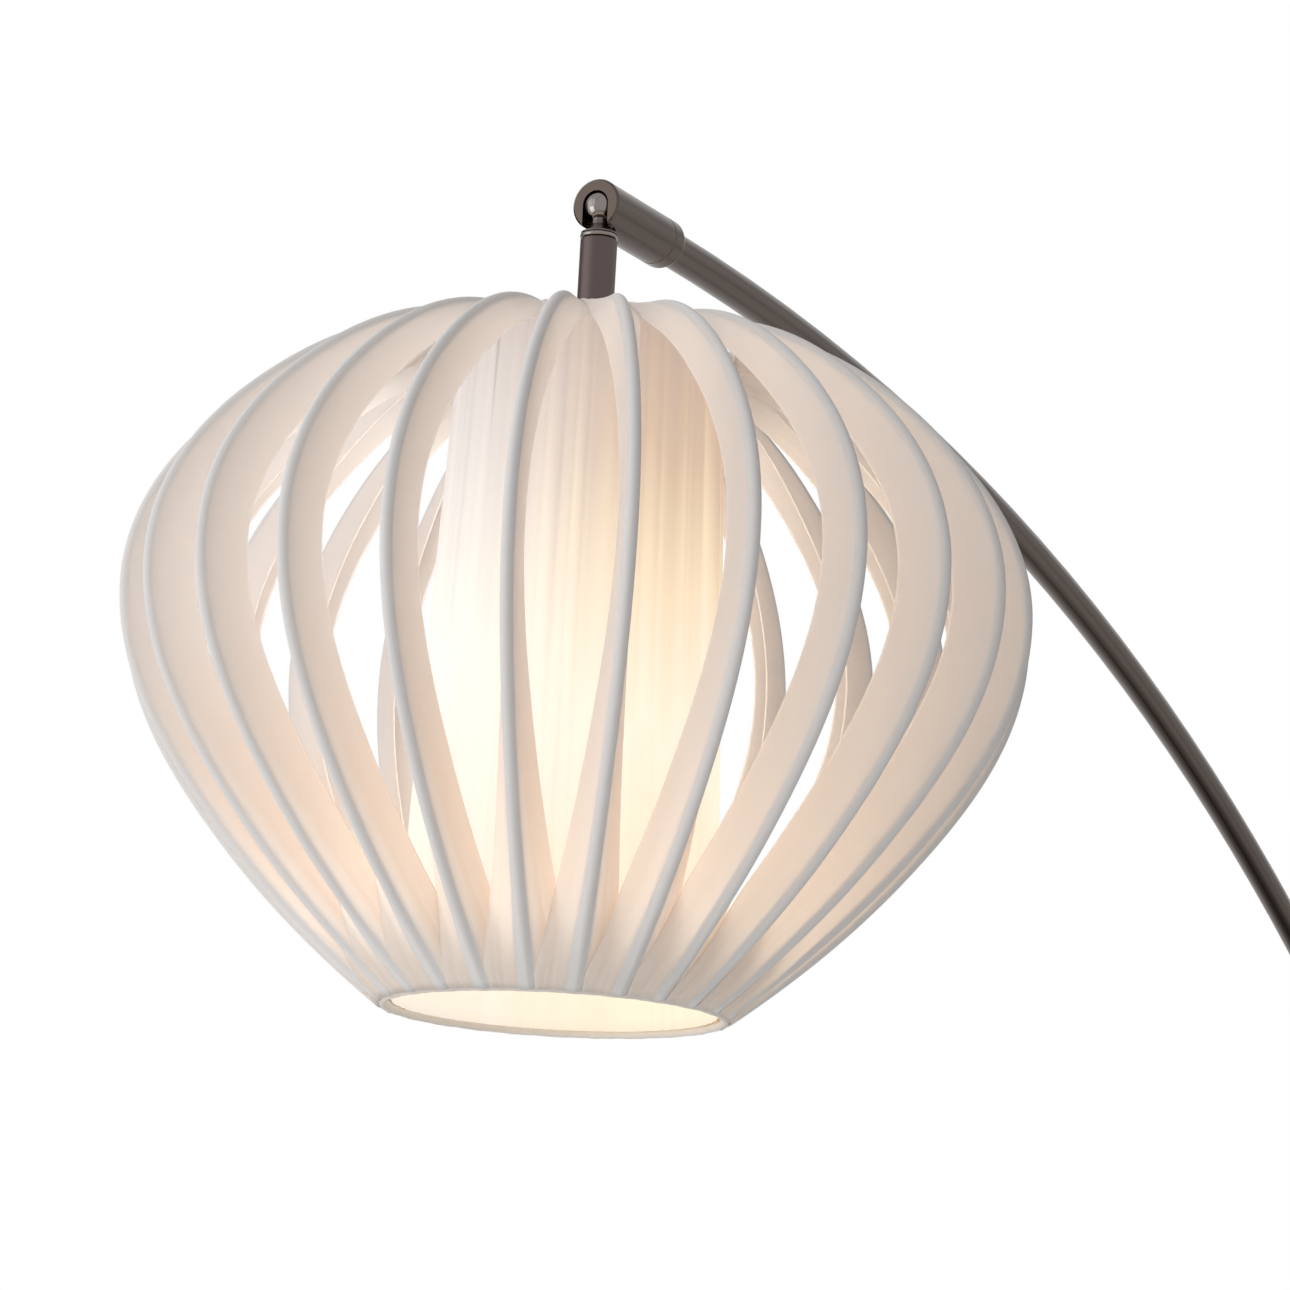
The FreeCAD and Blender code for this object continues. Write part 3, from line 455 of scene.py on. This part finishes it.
# %% Give the frame's nodes their finishes
FINISHES = {
    gunmetal: ("arc_section_lower", "arc_section_middle", "arc_section_upper", "ferrule_lower",
               "ferrule_upper", "swivel_head", "swivel_tail", "base_collar", "base_cover"),
    satin_stem: ("drop_stem",),
    ball_finish: ("ball_stem",),
    dark_chrome: ("swivel_collar",),
    cast_iron: ("base_weight",),
    felt: ("floor_pads",),
    rubber: ("cord_gland", "arm_lead", "stem_lead"),
    zinc: ("base_stud", "base_nut", "grub_screws", "friction_springs", "shade_nipple"),
    enamel: ("shade_spider", "bottom_ring", "rib_wires"),
    holder_white: ("ball_seat", "holder_cap", "holder_body", "holder_ring"),
    ceramic: ("holder_core",),
    brass: ("holder_contacts",),
    bright_cap: ("bulb_cap",),
    bulb_light: ("bulb_glass",),
}
for finish, names in FINISHES.items():
    for name in names:
        mesh = frame["nodes"][name].data
        mesh.materials.clear()
        mesh.materials.append(finish)
print("finishes on", sum(len(names) for names in FINISHES.values()), "nodes")

# %% [markdown]
# ## The outline of a rib
# Every wire follows the same outline: out from the top ring, round the widest line and in
# to the bottom ring. It is given by five knots, each with its radius, its depth below the
# ball and its heading, the same knots that shape the wires in the frame. Between two knots
# runs one cubic curve whose handles are a little over a third of the chord, which is as
# near to an arc as a hand-bent wire is.

# %% Rib outline
RIB_COUNT = 25
FIRST_RIB = math.radians(8.15)
KNOTS = np.array([
    (60.0, 62.5, 3.4),
    (147.0, 103.0, 41.6),
    (188.7, 181.5, 90.0),
    (146.0, 276.0, 129.3),
    (70.6, 347.2, 142.9),
])
HANDLE = 0.35
FINE_STEPS = 400


def rib_outline():
    """Radius, depth and length so far, in metres, at many points of the outline."""
    headings = np.radians(KNOTS[:, 2])
    steps = np.stack([np.cos(headings), np.sin(headings)], 1)
    spots = KNOTS[:, :2]
    chords = np.linalg.norm(np.diff(spots, axis=0), axis=1)[:, None] * HANDLE
    poles = np.stack([spots[:-1], spots[:-1] + chords * steps[:-1],
                      spots[1:] - chords * steps[1:], spots[1:]], 1)
    t = np.linspace(0, 1, FINE_STEPS // len(poles), endpoint=False)
    weights = np.stack([(1 - t) ** 3, 3 * (1 - t) ** 2 * t, 3 * (1 - t) * t ** 2, t ** 3], 1)
    points = np.einsum("tk,skc->stc", weights, poles).reshape(-1, 2)
    points = np.vstack([points, spots[-1:]]) * MM
    lengths = np.concatenate([[0], np.cumsum(np.linalg.norm(np.diff(points, axis=0), axis=1))])
    return points, lengths


outline, outline_length = rib_outline()
RIB_LENGTH = float(outline_length[-1])


def along_rib(share):
    """Radius, depth and unit heading at shares 0 to 1 of the rib's length."""
    place = share * RIB_LENGTH
    radius = np.interp(place, outline_length, outline[:, 0])
    depth = np.interp(place, outline_length, outline[:, 1])
    slope = np.gradient(outline, outline_length, axis=0)
    heading = np.stack([np.interp(place, outline_length, slope[:, k]) for k in (0, 1)], -1)
    return radius, depth, heading / np.linalg.norm(heading, axis=-1, keepdims=True)


print("rib length", round(RIB_LENGTH, 4), "m")

# %% [markdown]
# ## Mesh from a grid
# A cloth is a grid of points: rows along it and columns across it. This helper turns an
# array of points into a mesh in one go, closes the grid where it runs round, stores a UV
# map in metres for the knit and keeps every face smooth.

# %% Grid to mesh


def grid_piece(name, points, uv, finish, closed_columns=False):
    """Mesh of a (rows, columns, 3) array; a closed grid joins its last column to its first."""
    rows, columns = points.shape[:2]
    index = np.arange(rows * columns).reshape(rows, columns)
    if closed_columns:
        index = np.hstack([index, index[:, :1]])
    quads = np.stack([index[:-1, :-1], index[:-1, 1:], index[1:, 1:], index[1:, :-1]], -1)
    quads = quads.reshape(-1, 4)
    mesh = bpy.data.meshes.new(name)
    mesh.vertices.add(rows * columns)
    mesh.vertices.foreach_set("co", points.astype(np.float32).ravel())
    mesh.loops.add(quads.size)
    mesh.loops.foreach_set("vertex_index", quads.astype(np.int32).ravel())
    mesh.polygons.add(len(quads))
    mesh.polygons.foreach_set("loop_start", np.arange(0, quads.size, 4, dtype=np.int32))
    uv_columns = uv.shape[1]
    uv_index = np.arange(rows * uv_columns).reshape(rows, uv_columns)
    corners = np.stack([uv_index[:-1, :-1], uv_index[:-1, 1:], uv_index[1:, 1:],
                        uv_index[1:, :-1]], -1).reshape(-1)
    layer = mesh.uv_layers.new(name="cloth")
    layer.data.foreach_set("uv", uv.reshape(-1, 2)[corners].astype(np.float32).ravel())
    mesh.update(calc_edges=True)
    mesh.polygons.foreach_set("use_smooth", np.ones(len(quads), bool))
    mesh.materials.append(finish)
    piece = bpy.data.objects.new(name, mesh)
    scene.collection.objects.link(piece)
    return piece


def thicken(piece, thickness):
    """Give a sheet its thickness, half to each side."""
    solid = piece.modifiers.new("thickness", "SOLIDIFY")
    solid.thickness = thickness
    solid.offset = 0.0


# %% [markdown]
# ## The ribbon cloth
# Each sleeve is a stretch knit pulled tight: dull, off-white and a little see-through, so
# the lamp's warm light colours it from behind. Some light and shade is painted into its
# colour as well. On the wire the colour is painted cooler and greyer, a painted shade for
# the light that does not come through there. Low down the wing is painted warmer, most of
# all the wing that lies under its neighbour, a painted glow from the lamp nearby. Where the
# cloth is gathered at the rings its ridges are painted lighter and its hollows darker, as
# painted highlight and shade. The first UV number runs along the rib and the second runs
# across, from one free edge over the wire to the other, so these marks follow the cloth
# however it is turned.

# %% Ribbon cloth material
KNIT_PITCH = 0.0006
SEE_THROUGH = 0.46


def ribbon_cloth(shop):
    """Knit: colour by the place across the ribbon with painted light and shade, fine ribs as
    relief, light from behind.
    """
    uv = shop.make("ShaderNodeUVMap", {"uv_map": "cloth"})
    split = shop.tree.nodes.new("ShaderNodeSeparateXYZ")
    shop.tree.links.new(uv.socket, split.inputs[0])
    along, sideways = Value(shop, split.outputs[0]), Value(shop, split.outputs[1])
    on_wire = 1 - sideways.maths("ABSOLUTE").smooth(0.0026, 0.0046)
    # painted warm light: low down the wing colour is painted warmer, and warmer still on the wing
    # that lies under its neighbour, nearer to the lamp
    low = (along / RIB_LENGTH).smooth(0.5, 0.95)
    wing = shop.colour_mix(low, linear(251, 248, 247), linear(251, 245, 239))
    tucked_painted_warmth = (0 - sideways).smooth(0.004, 0.010) * low
    wing = shop.colour_mix(tucked_painted_warmth, wing, linear(243, 222, 205))
    # painted shade: the cloth over the wire is painted cooler and greyer, for the light that does
    # not come through there
    colour = shop.colour_mix(on_wire, wing, linear(226, 223, 221))
    # where the cloth is gathered near the rings: ridges are painted lighter, a painted highlight
    # that is also raised as relief, and hollows are painted darker as painted shade
    pulls = shop.noise(shop.stretch(uv, (7.0, 330.0, 1.0)), 1.0, 3.0, 0.55)
    ends = (along / RIB_LENGTH - 0.5).maths("ABSOLUTE").smooth(0.26, 0.47)
    gather_relief_and_highlight = pulls.smooth(0.45, 0.72) * ends * (1 - on_wire)
    colour = shop.colour_mix(gather_relief_and_highlight * 0.55, colour, linear(255, 253, 250))
    gather_hollow_shade = (1 - pulls).smooth(0.5, 0.75) * ends
    colour = shop.colour_mix(gather_hollow_shade * 0.3, colour, linear(232, 220, 210))
    rows = (along * (2 * math.pi / KNIT_PITCH)).maths("SINE")
    wales = (sideways * (2 * math.pi / KNIT_PITCH)).maths("SINE")
    relief = shop.bump(rows * wales * 0.25 + gather_relief_and_highlight * 3.0, 0.00008)
    cloth = principled(shop, Base_Color=colour, Roughness=rows * 0.03 + 0.85, Normal=relief)
    behind = shop.make("ShaderNodeBsdfTranslucent", None, Color=linear(255, 249, 243))
    return shop.make("ShaderNodeMixShader", None, (1 - on_wire) * SEE_THROUGH, cloth, behind)


sleeve_cloth = material("sleeve_cloth", ribbon_cloth)
print("ribbon cloth made")

# %% [markdown]
# ## The ribbons
# A ribbon is carried along the rib's outline. Across, it is a tent: an arc hugs the wire,
# and from the points where straight lines leave that arc two wings run in towards the lamp.
# How far the wings reach and how wide they stand depends on the place along the rib: deep
# and almost closed at the widest line, wide open at both rings. There neighbours overlap,
# always the same way round: one wing lies nearly flush over the next ribbon's other wing,
# which ducks under it. Nobody pulls twenty-five ribbons quite alike, so each one gets its
# own small differences from a seeded draw, and soft pleats where it is gathered.

# %% Tent across a wire
ROWS = 96
WING_COLUMNS = 20
NOSE_COLUMNS = 8
NOSE_R = 2.3 * MM
CLOTH_THICKNESS = 0.6 * MM
WIRE_CLEARANCE = 3.1 * MM
LAYER_GAP = 0.9 * MM
WAIST_AT = 0.47
TOP_POWER = 2.4
BOTTOM_POWER = 1.8
SAG = 0.03
rng = np.random.default_rng(11)


def open_halves(share, waist, top_half, bottom_half):
    """Half width of a wing: the waist plus a power of the distance from it."""
    above = np.clip((WAIST_AT - share) / WAIST_AT, 0, 1) ** TOP_POWER
    below = np.clip((share - WAIST_AT) / (1 - WAIST_AT), 0, 1) ** BOTTOM_POWER
    return waist + (top_half - waist) * above + (bottom_half - waist) * below


def wing_section(half, depth):
    """Across and inward distances from the top of the nose to a wing's tip.

    The straight part touches the arc where the angle from its tip is acos(nose / distance).
    """
    distance = np.hypot(half, depth)
    tip_angle = np.arctan2(half, depth)
    leave = math.pi - tip_angle - np.arccos(np.clip(NOSE_R / distance, -1, 1))
    arc = leave[:, None] * np.linspace(0, 1, NOSE_COLUMNS)
    arc_points = NOSE_R * np.stack([np.sin(arc), -np.cos(arc)], -1)
    t = np.linspace(0, 1, WING_COLUMNS)[1:, None]
    start = arc_points[:, -1:]
    chord = np.stack([half, depth], -1)[:, None] - start
    sag = SAG * np.sin(math.pi * t) * np.stack([-chord[..., 1], chord[..., 0]], -1)
    return np.concatenate([arc_points, start + chord * t + sag], 1)


def softened(ratio, softness=0.12):
    """min(ratio, 1) with its corner rounded."""
    return 1 - softness * np.log1p(np.exp(np.clip((1 - ratio) / softness, -30, 30)))


print("tent helpers ready")

# %% Ribbon shape
WAIST_HALF = 3.5
TOP_HALF = 13.6
OVER_BOTTOM_HALF = 19.3
UNDER_BOTTOM_HALF = 18.8
REACH = 19.0
REACH_POWER = 0.7
RING_STANDOFF = 2.6 * MM
RIPPLE = 0.16 * MM
RIPPLE_PITCH = 3.4 * MM
NOSE_ZONE = 5.0 * MM
LEAN = math.radians(0.2)


def ribbon(index):
    """One sleeve: the tent carried along its rib, with its own small differences.

    Half widths and the reach are in millimetres, each with a normal draw added. The over
    wing's tip follows the neighbour's under wing at a layer's distance where the two meet,
    and the ripple is a sine across the cloth that fades away from the rings and the wire.
    """
    draw = rng.normal(size=8)
    share = np.linspace(0.003, 0.997, ROWS)
    radius, depth, heading = along_rib(share)
    pitch = 2 * math.pi * radius / RIB_COUNT
    waist = (WAIST_HALF + 0.3 * draw[0]) * MM
    widest = pitch - WIRE_CLEARANCE
    over_bottom = (OVER_BOTTOM_HALF + 2.2 * draw[2]) * MM
    under_bottom = (UNDER_BOTTOM_HALF + 1.8 * draw[4]) * MM
    half_over = open_halves(share, waist, (TOP_HALF + draw[1]) * MM, over_bottom)
    half_over = np.minimum(half_over, widest)
    half_under = open_halves(share, waist, (TOP_HALF + draw[3]) * MM, under_bottom)
    half_under = np.minimum(half_under, widest)
    reach = (REACH + 0.6 * draw[5]) * MM * np.sin(math.pi * share) ** REACH_POWER
    tip_under = np.hypot(reach, RING_STANDOFF)
    room_left = softened((pitch - half_over) / half_under)
    tip_over = -NOSE_R + (tip_under + NOSE_R) * room_left - LAYER_GAP * (1 - room_left)
    over_side = wing_section(half_over, tip_over)
    under_side = wing_section(half_under, tip_under)
    section = np.concatenate([under_side[:, :0:-1] * (-1, 1), over_side], 1)

    gather = np.clip(np.abs(share - 0.5) / 0.5, 0, 1)[:, None] ** 6
    wander = draw[6] * 3 + 0.8 * np.sin(share * 20)[:, None]
    ripple = np.sin(section[..., 0] * 2 * math.pi / RIPPLE_PITCH + wander)
    off_nose = np.clip(np.abs(section[..., 0]) / NOSE_ZONE - 0.7, 0, 1)
    section[..., 1] += RIPPLE * ripple * gather * off_nose

    inward = np.stack([-heading[:, 1], heading[:, 0]], -1)
    ring_r = radius[:, None] + section[..., 1] * inward[:, :1]
    ring_d = depth[:, None] + section[..., 1] * inward[:, 1:]
    lean = LEAN * draw[7] * np.sin(math.pi * share)
    angle = FIRST_RIB + 2 * math.pi * index / RIB_COUNT + lean
    points = in_shade(ring_r, ring_d, angle[:, None] + section[..., 0] / radius[:, None])

    steps = np.linalg.norm(np.diff(points, axis=1), axis=-1)
    over = np.concatenate([np.zeros((ROWS, 1)), np.cumsum(steps, axis=1)], 1)
    crest = under_side.shape[1] - 1
    uv = np.stack([np.broadcast_to((share * RIB_LENGTH)[:, None], over.shape),
                   over - over[:, crest:crest + 1]], -1)
    piece = grid_piece(f"ribbon_{index + 1:02d}", points, uv, sleeve_cloth)
    thicken(piece, CLOTH_THICKNESS)
    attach(piece, "shade")
    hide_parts(f"rib_sleeve_{index + 1:02d}")
    width = over[:, -1]
    return float(width.mean())


widths = [ribbon(index) for index in range(RIB_COUNT)]
print("ribbons:", len(widths), "mean flat width", round(float(np.mean(widths)) * 1000, 1), "mm")

# %% [markdown]
# ## The glowing inner tube
# Inside the ribs hangs a tube of thin cloth with hand-laid pleats, gathered on the top ring
# and wider at the bottom one. The bulb's glow on it is painted light, set in the cloth's
# emission colour: brightest and yellowest beside and below the bulb, pinker towards the top
# where the holder keeps the light away, painted whiter on the window side, and painted
# lighter and darker along its pleats. Being part of the cloth's own finish, the painted glow
# stays with the shade however it is turned.

# %% Pleats
TUBE_ROWS = 56
TUBE_COLUMNS = 720
TUBE_TOP = 64.6 * MM
TUBE_BOTTOM = 346.2 * MM
TUBE_TOP_R = 57.2 * MM
TUBE_BOTTOM_R = 67.8 * MM
PLEATS = 34
PLEAT_DEPTH = 0.8 * MM
DRAPE = 0.5 * MM
TUBE_INSET = 0.4 * MM
TUBE_THICKNESS = 0.4 * MM


def fold_height(angle):
    """0 to 1 across each pleat: a slow rise and a quick fall, pleats of uneven width."""
    warp = 0.9 * np.sin(3 * angle + 0.6) + 0.5 * np.sin(7 * angle + 2.0) + 0.3 * np.sin(13 * angle)
    phase = (angle * PLEATS / (2 * math.pi) + warp) % 1.0
    return np.where(phase < 0.8, phase / 0.8, (1 - phase) / 0.2)


print("pleats:", PLEATS)

# %% Lit cloth
WHITE_SIDE = math.radians(62)
SEAM_AT = math.radians(14) * TUBE_BOTTOM_R


def glow_cloth(shop):
    """Painted glow: warm painted light by depth, painted whiter towards the window, painted
    lighter and darker along its pleats, with a dark line painted at the slit.
    """
    uv = shop.make("ShaderNodeUVMap", {"uv_map": "cloth"})
    split = shop.tree.nodes.new("ShaderNodeSeparateXYZ")
    shop.tree.links.new(uv.socket, split.inputs[0])
    round_it, depth = Value(shop, split.outputs[0]), Value(shop, split.outputs[1])
    pleat = shop.make("ShaderNodeAttribute", {"attribute_name": "pleat"}, output="Fac")
    wide = shop.noise(shop.stretch(uv, (70.0, 0.5, 1.0)), 1.0, 2.0)
    narrow = shop.noise(shop.stretch(uv, (420.0, 1.0, 1.0)), 1.0, 2.0, 0.6)
    # painted light and shade: the glow rises with depth and goes lighter and darker along the
    # pleats and the noise
    lit = depth / (TUBE_BOTTOM - TUBE_TOP) + (wide - 0.5) * 0.4 + (pleat - 0.5) * 0.06
    lit = lit + (narrow - 0.5) * 0.05
    warm = shop.make("ShaderNodeValToRGB", {"stops": (
        (0.0, (0.49, 0.36, 0.29)), (0.18, (0.64, 0.45, 0.31)), (0.38, (0.94, 0.73, 0.49)),
        (0.6, (1.0, 0.90, 0.71)), (1.0, (0.88, 0.73, 0.53)))}, lit)
    pale = shop.make("ShaderNodeValToRGB", {"stops": (
        (0.0, (0.58, 0.52, 0.50)), (0.2, (0.71, 0.65, 0.62)), (0.5, (0.98, 0.90, 0.81)),
        (1.0, (0.87, 0.77, 0.64)))}, lit)
    # painted light: the side of the tube towards the window is painted whiter
    facing = (round_it / TUBE_BOTTOM_R - WHITE_SIDE).maths("COSINE")
    colour = shop.colour_mix(facing.smooth(-0.6, 0.9), warm, pale)
    # painted shade: the glow is painted dark along a thin line at the slit
    slit = (round_it - SEAM_AT).maths("ABSOLUTE") + depth * 0.026
    colour = shop.colour_mix((1 - slit.smooth(0.0010, 0.0017)) * 0.45, colour, (0.25, 0.22, 0.22))
    relief = shop.bump(pleat + narrow * 0.3, 0.0001)
    return principled(shop, Base_Color=linear(140, 137, 133), Roughness=narrow * 0.1 + 0.8,
                      Emission_Color=colour, Emission_Strength=0.9, Normal=relief)


diffuser_cloth = material("diffuser_cloth", glow_cloth)
print("lit cloth made")

# %% Inner tube
angle = np.linspace(0, 2 * math.pi, TUBE_COLUMNS + 1)
share = np.linspace(0, 1, TUBE_ROWS)
grid_angle, grid_share = np.meshgrid(angle, share)
pleat_height = fold_height(grid_angle)
drape = DRAPE * np.sin(9 * grid_angle + 1.0) * np.sin(math.pi * grid_share)
tube_r = TUBE_TOP_R + (TUBE_BOTTOM_R - TUBE_TOP_R) * grid_share
tube_r = tube_r - PLEAT_DEPTH * pleat_height - TUBE_INSET - drape
tube_depth = TUBE_TOP + (TUBE_BOTTOM - TUBE_TOP) * grid_share
tube_points = in_shade(tube_r, tube_depth, grid_angle)
tube_uv = np.stack([grid_angle * TUBE_BOTTOM_R, tube_depth - TUBE_TOP], -1)
glow_tube = grid_piece("glow_tube", tube_points[:, :-1], tube_uv, diffuser_cloth, True)
pleat_layer = glow_tube.data.attributes.new("pleat", "FLOAT", "POINT")
pleat_layer.data.foreach_set("value", pleat_height[:, :-1].astype(np.float32).ravel())
thicken(glow_tube, TUBE_THICKNESS)
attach(glow_tube, "shade")
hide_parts("diffuser")

# %% [markdown]
# ## Light between the tube and the ribs
# A glowing cloth sends its light out all round, and that light colours the ribbons from
# behind. Ten tall, narrow lights stand round the tube, facing outwards, each a little
# warmer the farther it stands from the window side. They are children of the tube, so they
# turn with the shade, and no eye and no mirror sees them.

# %% Warm strips
STRIP_COUNT = 10
STRIP_R = 80 * MM
STRIP_MIDDLE = 205 * MM
STRIP_WIDTH = 40 * MM
STRIP_HEIGHT = 220 * MM
STRIP_WATTS = 0.065
for number in range(STRIP_COUNT):
    way = np.array([2 * math.pi * (number + 0.5) / STRIP_COUNT])
    middle = np.array([STRIP_MIDDLE])
    place, aim = (in_shade(np.array([r]), middle, way)[0] for r in (STRIP_R, 2 * STRIP_R))
    away = 0.5 - 0.5 * math.cos(float(way[0]) - WHITE_SIDE)
    tint = (1.0, 0.99 - 0.13 * away, 0.97 - 0.27 * away)
    strip_light = softbox(f"warm_{number + 1}", place, aim, STRIP_WIDTH, STRIP_WATTS, tint)
    strip_light.data.shape = "RECTANGLE"
    strip_light.data.size_y = STRIP_HEIGHT
    strip_light.visible_camera = False
    strip_light.visible_glossy = False
    strip_light.parent = glow_tube
print("warm strips:", STRIP_COUNT)

# %% [markdown]
# ## The rolled hem
# The cloth ends are turned under the bottom ring and rolled into a soft, slightly lumpy
# edge. It is a ring whose own radius swells where each ribbon's cloth joins the roll.

# %% Hem
HEM_AROUND = 720
HEM_SIDES = 20
HEM_R = 1.65 * MM
HEM_EDGE = 4.3 * MM
RING_R = 70.6 * MM
RING_DEPTH = 347.2 * MM


def hem_points(angle, turn):
    """A ring of tube: its own radius swells a little at each ribbon and wanders slowly."""
    gathers = 0.05 * np.cos(RIB_COUNT * (angle - FIRST_RIB)) + 0.03 * np.sin(61 * angle + 1.3)
    roll_r = HEM_R * (1 + gathers)
    return in_shade(RING_R + roll_r * np.cos(turn), RING_DEPTH + roll_r * np.sin(turn), angle)


hem_angle, hem_turn = np.meshgrid(np.linspace(0, 2 * math.pi, HEM_AROUND + 1),
                                  np.linspace(0, 2 * math.pi, HEM_SIDES + 1))
hem_grid = hem_points(hem_angle, hem_turn)[:, :-1]
hem_uv = np.stack([hem_angle * RING_R + RIB_LENGTH, np.full_like(hem_turn, HEM_EDGE)], -1)
hem = grid_piece("hem_roll", hem_grid, hem_uv, sleeve_cloth, True)
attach(hem, "shade")
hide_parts("hem_band")
print("hem made")
